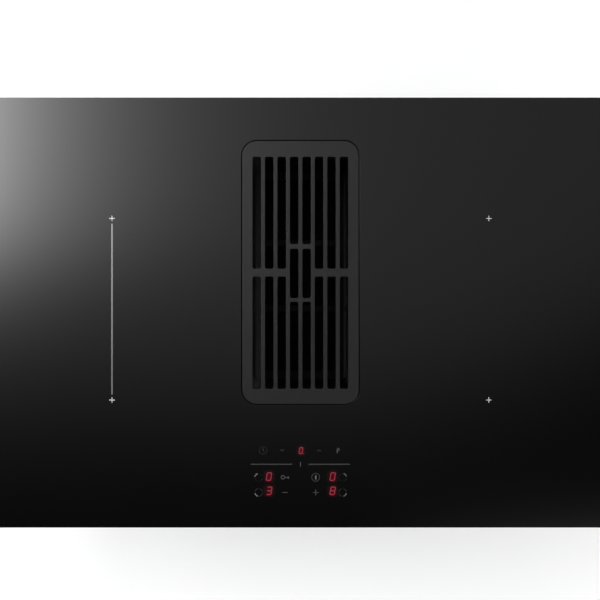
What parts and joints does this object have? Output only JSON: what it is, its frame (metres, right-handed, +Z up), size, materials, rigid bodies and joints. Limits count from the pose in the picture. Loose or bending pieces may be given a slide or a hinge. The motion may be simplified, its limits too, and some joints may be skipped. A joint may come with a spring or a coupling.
{
  "type": "induction cooktop",
  "caption": "Built-in induction hob with a black glass top, touch controls and a lift-out downdraft extractor grille over a filter, tray and blower.",
  "frame": {"origin": "under the middle of the glass, at the height of the suction box floor", "axes": "+X to the right of the cook, +Y to the rear of the worktop, +Z up through the glass"},
  "size_m": [0.78, 0.52, 0.217],
  "materials": {
    "black_glass": "polished black glass-ceramic, opaque",
    "foam_tape": "closed-cell foam",
    "silicone": "cured silicone",
    "galvanised": "spangled zinc-coated sheet",
    "cast_iron": "matt black enamelled cast iron",
    "pad_rubber": "moulded silicone rubber",
    "black_plastic": "glass-filled moulding, fine grain",
    "black_steel": "matt black powder coat",
    "screw_steel": "zinc-plated",
    "grey_plastic": "dark grey moulding",
    "motor_steel": "pressed steel",
    "shaft_steel": "ground steel",
    "core_steel": "stacked laminations",
    "copper": "enamelled copper wire",
    "board_green": "solder mask",
    "heat_sink": "extruded, raw",
    "aluminium_sheet": "pressed sheet",
    "capacitor_blue": "film capacitors and chokes",
    "white_plastic": "heat-resistant moulding",
    "ferrite": "pressed ferrite",
    "mica": "bonded mica sheet",
    "sensor_ceramic": "steatite",
    "spring_steel": "tempered strip",
    "fan_black": "moulded",
    "display_red": "seven-segment module"
  },
  "bodies": {
    "hob": {"glass_top": "black_glass", "glass_seal": "foam_tape", "bond_bead": "silicone", "glass_frame": "galvanised", "inlet_collar": "black_plastic", "collar_gasket": "silicone", "suction_box": "black_plastic", "suction_cover": "grey_plastic", "box_gasket": "foam_tape", "housing_screws": "screw_steel", "scroll_housing": "black_plastic", "scroll_lid": "black_plastic", "inlet_ring": "grey_plastic", "motor_stator": "core_steel", "motor_windings": "copper", "motor_bearings": "shaft_steel", "motor_plate": "galvanised", "motor_grommets": "pad_rubber", "outlet_spigot": "grey_plastic", "outlet_gasket": "foam_tape", "driver_box": "black_plastic", "driver_board": "board_green", "base_pan": "galvanised", "pan_screws": "screw_steel", "board_carrier_left": "white_plastic", "board_carrier_right": "white_plastic", "power_board_left": "board_green", "power_board_right": "board_green", "heat_sinks": "heat_sink", "board_parts": "capacitor_blue", "coil_plate_left": "aluminium_sheet", "coil_plate_right": "aluminium_sheet", "plate_springs": "spring_steel", "coil_formers": "white_plastic", "ferrites": "ferrite", "coil_rear_left": "copper", "coil_front_left": "copper", "coil_rear_right": "copper", "coil_front_right": "copper", "mica_pads": "mica", "coil_sensors": "sensor_ceramic", "fan_frames": "fan_black", "control_tray": "black_plastic", "touch_board": "board_green", "displays": "display_red", "terminal_box": "black_plastic", "terminal_block": "white_plastic", "cable_gland": "black_plastic", "worktop_clamps": "galvanised", "clamp_screws": "screw_steel"},
    "grille": {"grille": "cast_iron", "grille_pads": "pad_rubber"},
    "filter": {"filter_frame": "black_steel", "filter_mesh": "black_steel"},
    "tray": {"drip_tray": "black_plastic"},
    "blower": {"impeller": "grey_plastic", "motor_rotor": "motor_steel", "motor_shaft": "shaft_steel"},
    "cooling_fan_left": {"fan_rotor_left": "fan_black"},
    "cooling_fan_right": {"fan_rotor_right": "fan_black"}
  },
  "joints": [
    {"name": "grille_lift", "type": "slide", "parent": "hob", "child": "grille", "axis": [0, 0, 1], "range_m": [0, 0.34]},
    {"name": "filter_lift", "type": "slide", "parent": "hob", "child": "filter", "axis": [0, 0, 1], "range_m": [0, 0.204]},
    {"name": "tray_lift", "type": "slide", "parent": "hob", "child": "tray", "axis": [0, 0, 1], "range_m": [0, 0.238]},
    {"name": "blower_spin", "type": "hinge", "parent": "hob", "child": "blower", "pos_m": [0.18, 0.036, 0.09], "axis": [0, 0, 1], "continuous": true},
    {"name": "cooling_fan_left_spin", "type": "hinge", "parent": "hob", "child": "cooling_fan_left", "pos_m": [-0.228, -0.196, 0.165], "axis": [0, 0, 1], "continuous": true},
    {"name": "cooling_fan_right_spin", "type": "hinge", "parent": "hob", "child": "cooling_fan_right", "pos_m": [0.228, -0.196, 0.165], "axis": [0, 0, 1], "continuous": true}
  ],
  "couplings": [
    {"joint": "filter_lift", "follows": "grille_lift", "ratio": 0.6},
    {"joint": "tray_lift", "follows": "grille_lift", "ratio": 0.7}
  ]
}
